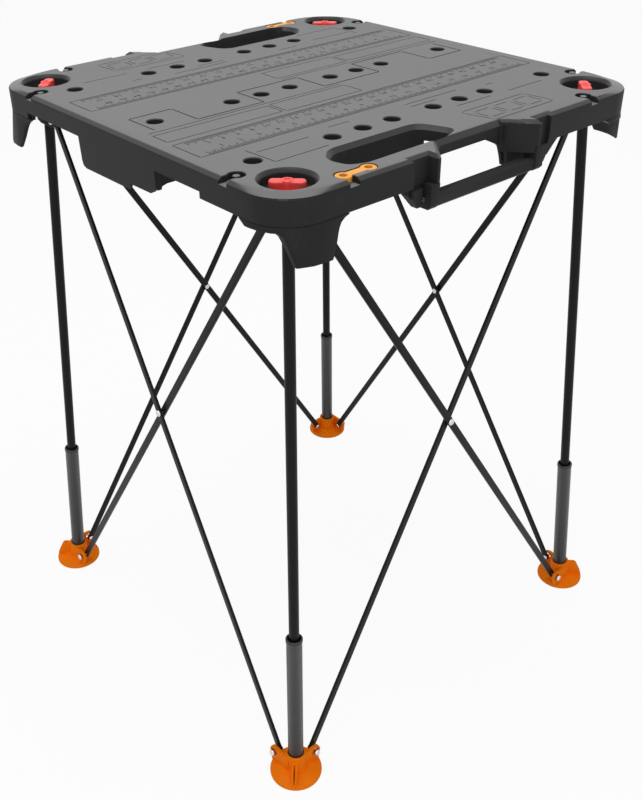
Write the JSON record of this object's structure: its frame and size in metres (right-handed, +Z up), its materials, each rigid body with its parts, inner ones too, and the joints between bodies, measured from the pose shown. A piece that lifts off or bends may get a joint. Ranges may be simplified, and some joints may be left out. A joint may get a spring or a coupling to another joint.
{
  "type": "folding workbench",
  "caption": "Folding square workbench: moulded top with dog holes, clamp slots and twist knobs on a scissor-braced leg frame with telescoping legs and splayed round feet.",
  "frame": {"origin": "centre of the bench's footprint, on the floor", "axes": "+Z up to the top, +X along the front-right edge from the front corner to the right corner, +Y from the front corner to the left corner"},
  "size_m": [0.639, 0.639, 0.8],
  "materials": {
    "grey_plastic": "fine moulded texture",
    "dark_plastic": "fine moulded texture",
    "red_plastic": "satin",
    "orange_plastic": "satin",
    "black_metal": "satin powder coat",
    "sleeve_metal": "satin powder coat",
    "steel": "bright zinc"
  },
  "bodies": {
    "top": {"table_top": "grey_plastic", "corner_socket_front": "dark_plastic", "corner_socket_right": "dark_plastic", "corner_socket_back": "dark_plastic", "corner_socket_left": "dark_plastic", "handle_rod_front_right": "steel", "handle_rod_back_left": "steel"},
    "lock_knob_front": {"lock_knob_front": "red_plastic"},
    "lock_knob_right": {"lock_knob_right": "red_plastic"},
    "lock_knob_back": {"lock_knob_back": "red_plastic"},
    "lock_knob_left": {"lock_knob_left": "red_plastic"},
    "carry_handle_front_right": {"carry_handle_front_right": "dark_plastic"},
    "carry_handle_back_left": {"carry_handle_back_left": "dark_plastic"},
    "link_front_right": {"link_front_right": "orange_plastic"},
    "link_back_left": {"link_back_left": "orange_plastic"},
    "upper_leg_front": {"hub_front": "dark_plastic", "leg_tube_front": "black_metal", "outer_hub_rivet_front_right": "steel", "inner_hub_rivet_left_front": "steel"},
    "lower_leg_front": {"foot_front": "orange_plastic", "leg_sleeve_front": "sleeve_metal"},
    "upper_leg_right": {"hub_right": "dark_plastic", "leg_tube_right": "black_metal", "outer_hub_rivet_right_back": "steel", "inner_hub_rivet_front_right": "steel"},
    "lower_leg_right": {"foot_right": "orange_plastic", "leg_sleeve_right": "sleeve_metal"},
    "upper_leg_back": {"hub_back": "dark_plastic", "leg_tube_back": "black_metal", "outer_hub_rivet_back_left": "steel", "inner_hub_rivet_right_back": "steel"},
    "lower_leg_back": {"foot_back": "orange_plastic", "leg_sleeve_back": "sleeve_metal"},
    "upper_leg_left": {"hub_left": "dark_plastic", "leg_tube_left": "black_metal", "outer_hub_rivet_left_front": "steel", "inner_hub_rivet_back_left": "steel"},
    "lower_leg_left": {"foot_left": "orange_plastic", "leg_sleeve_left": "sleeve_metal"},
    "outer_brace_front_right": {"outer_brace_front_right": "black_metal", "cross_rivet_front_right": "steel", "outer_foot_rivet_front_right": "steel"},
    "inner_brace_front_right": {"inner_brace_front_right": "black_metal", "inner_foot_rivet_front_right": "steel"},
    "outer_brace_right_back": {"outer_brace_right_back": "black_metal", "cross_rivet_right_back": "steel", "outer_foot_rivet_right_back": "steel"},
    "inner_brace_right_back": {"inner_brace_right_back": "black_metal", "inner_foot_rivet_right_back": "steel"},
    "outer_brace_back_left": {"outer_brace_back_left": "black_metal", "cross_rivet_back_left": "steel", "outer_foot_rivet_back_left": "steel"},
    "inner_brace_back_left": {"inner_brace_back_left": "black_metal", "inner_foot_rivet_back_left": "steel"},
    "outer_brace_left_front": {"outer_brace_left_front": "black_metal", "cross_rivet_left_front": "steel", "outer_foot_rivet_left_front": "steel"},
    "inner_brace_left_front": {"inner_brace_left_front": "black_metal", "inner_foot_rivet_left_front": "steel"}
  },
  "joints": [
    {"name": "leg_set_swing", "type": "hinge", "parent": "top", "child": "upper_leg_front", "pos_m": [0, 0, 4.14167], "axis": [0.7071, -0.7071, 0], "range_deg": [0, 4.88]},
    {"name": "frame_fold", "type": "hinge", "parent": "upper_leg_front", "child": "outer_brace_front_right", "pos_m": [-0.212, -0.23664, 0.75582], "axis": [0, 0.9982, -0.0599], "range_deg": [0, 34.69]},
    {"name": "inner_brace_front_right_crossing", "type": "hinge", "parent": "outer_brace_front_right", "child": "inner_brace_front_right", "pos_m": [0, -0.25661, 0.42313], "axis": [0, -0.9982, 0.0599], "range_deg": [0, 62.48]},
    {"name": "upper_leg_right_hub_pivot", "type": "hinge", "parent": "inner_brace_front_right", "child": "upper_leg_right", "pos_m": [0.212, -0.23066, 0.75546], "axis": [0, 0.9982, -0.0599], "range_deg": [0, 34.69]},
    {"name": "lower_leg_right_foot_pivot", "type": "hinge", "parent": "outer_brace_front_right", "child": "lower_leg_right", "pos_m": [0.257, -0.28081, 0.01982], "axis": [0, -0.9982, 0.0599], "range_deg": [0, 27.79]},
    {"name": "lower_leg_front_foot_pivot", "type": "hinge", "parent": "inner_brace_front_right", "child": "lower_leg_front", "pos_m": [-0.257, -0.27482, 0.01946], "axis": [0, 0.9982, -0.0599], "range_deg": [0, 27.79]},
    {"name": "inner_brace_left_front_hub_pivot", "type": "hinge", "parent": "upper_leg_front", "child": "inner_brace_left_front", "pos_m": [-0.23066, -0.212, 0.75546], "axis": [-0.9982, 0, 0.0599], "range_deg": [0, 34.66]},
    {"name": "outer_brace_left_front_crossing", "type": "hinge", "parent": "inner_brace_left_front", "child": "outer_brace_left_front", "pos_m": [-0.25062, 0, 0.42277], "axis": [0.9982, 0, -0.0599], "range_deg": [0, 62.48]},
    {"name": "upper_leg_left_hub_pivot", "type": "hinge", "parent": "outer_brace_left_front", "child": "upper_leg_left", "pos_m": [-0.23664, 0.212, 0.75582], "axis": [-0.9982, 0, 0.0599], "range_deg": [0, 34.78]},
    {"name": "lower_leg_left_foot_pivot", "type": "hinge", "parent": "inner_brace_left_front", "child": "lower_leg_left", "pos_m": [-0.27482, 0.257, 0.01946], "axis": [0.9982, 0, -0.0599], "range_deg": [0, 27.89]},
    {"name": "outer_brace_right_back_hub_pivot", "type": "hinge", "parent": "upper_leg_right", "child": "outer_brace_right_back", "pos_m": [0.23664, -0.212, 0.75582], "axis": [-0.9982, 0, -0.0599], "range_deg": [0, 34.66]},
    {"name": "inner_brace_right_back_crossing", "type": "hinge", "parent": "outer_brace_right_back", "child": "inner_brace_right_back", "pos_m": [0.25661, 0, 0.42313], "axis": [0.9982, 0, 0.0599], "range_deg": [0, 62.48]},
    {"name": "upper_leg_back_hub_pivot", "type": "hinge", "parent": "inner_brace_right_back", "child": "upper_leg_back", "pos_m": [0.23066, 0.212, 0.75546], "axis": [-0.9982, 0, -0.0599], "range_deg": [0, 34.78]},
    {"name": "lower_leg_back_foot_pivot", "type": "hinge", "parent": "outer_brace_right_back", "child": "lower_leg_back", "pos_m": [0.28081, 0.257, 0.01982], "axis": [0.9982, 0, 0.0599], "range_deg": [0, 27.89]},
    {"name": "outer_brace_back_left_hub_pivot", "type": "hinge", "parent": "upper_leg_back", "child": "outer_brace_back_left", "pos_m": [0.212, 0.23664, 0.75582], "axis": [0, -0.9982, -0.0599], "range_deg": [0, 34.57]},
    {"name": "inner_brace_back_left_hub_pivot", "type": "hinge", "parent": "upper_leg_left", "child": "inner_brace_back_left", "pos_m": [-0.212, 0.23066, 0.75546], "axis": [0, 0.9982, 0.0599], "range_deg": [0, 34.58]},
    {"name": "knob_turn_front", "type": "hinge", "parent": "top", "child": "lock_knob_front", "pos_m": [-0.2376, -0.2376, 0.786], "axis": [0, 0, 1], "range_deg": [0, 90]},
    {"name": "knob_turn_right", "type": "hinge", "parent": "top", "child": "lock_knob_right", "pos_m": [0.2376, -0.2376, 0.786], "axis": [0, 0, 1], "range_deg": [0, 90]},
    {"name": "knob_turn_back", "type": "hinge", "parent": "top", "child": "lock_knob_back", "pos_m": [0.2376, 0.2376, 0.786], "axis": [0, 0, 1], "range_deg": [0, 90]},
    {"name": "knob_turn_left", "type": "hinge", "parent": "top", "child": "lock_knob_left", "pos_m": [-0.2376, 0.2376, 0.786], "axis": [0, 0, 1], "range_deg": [0, 90]},
    {"name": "handle_swing_front_right", "type": "hinge", "parent": "top", "child": "carry_handle_front_right", "pos_m": [0, -0.281, 0.7505], "axis": [1, 0, 0], "range_deg": [0, 80]},
    {"name": "handle_swing_back_left", "type": "hinge", "parent": "top", "child": "carry_handle_back_left", "pos_m": [0, 0.281, 0.7505], "axis": [-1, 0, 0], "range_deg": [0, 80]},
    {"name": "link_lift_front_right", "type": "slide", "parent": "top", "child": "link_front_right", "axis": [0, 0, 1], "range_m": [0, 0.04]},
    {"name": "link_lift_back_left", "type": "slide", "parent": "top", "child": "link_back_left", "axis": [0, 0, 1], "range_m": [0, 0.04]}
  ],
  "couplings": [
    {"joint": "leg_set_swing", "follows": "frame_fold", "ratio": 0.14069},
    {"joint": "inner_brace_front_right_crossing", "follows": "frame_fold", "ratio": 1.8009},
    {"joint": "upper_leg_right_hub_pivot", "follows": "frame_fold", "ratio": 0.99997},
    {"joint": "lower_leg_right_foot_pivot", "follows": "frame_fold", "ratio": 0.80103},
    {"joint": "lower_leg_front_foot_pivot", "follows": "frame_fold", "ratio": 0.80104},
    {"joint": "inner_brace_left_front_hub_pivot", "follows": "frame_fold", "ratio": 0.99891},
    {"joint": "outer_brace_left_front_crossing", "follows": "frame_fold", "ratio": 1.8009},
    {"joint": "upper_leg_left_hub_pivot", "follows": "frame_fold", "ratio": 1.0025},
    {"joint": "lower_leg_left_foot_pivot", "follows": "frame_fold", "ratio": 0.80392},
    {"joint": "outer_brace_right_back_hub_pivot", "follows": "frame_fold", "ratio": 0.9989},
    {"joint": "inner_brace_right_back_crossing", "follows": "frame_fold", "ratio": 1.8009},
    {"joint": "upper_leg_back_hub_pivot", "follows": "frame_fold", "ratio": 1.0025},
    {"joint": "lower_leg_back_foot_pivot", "follows": "frame_fold", "ratio": 0.80382},
    {"joint": "outer_brace_back_left_hub_pivot", "follows": "frame_fold", "ratio": 0.99656},
    {"joint": "inner_brace_back_left_hub_pivot", "follows": "frame_fold", "ratio": 0.99679}
  ]
}
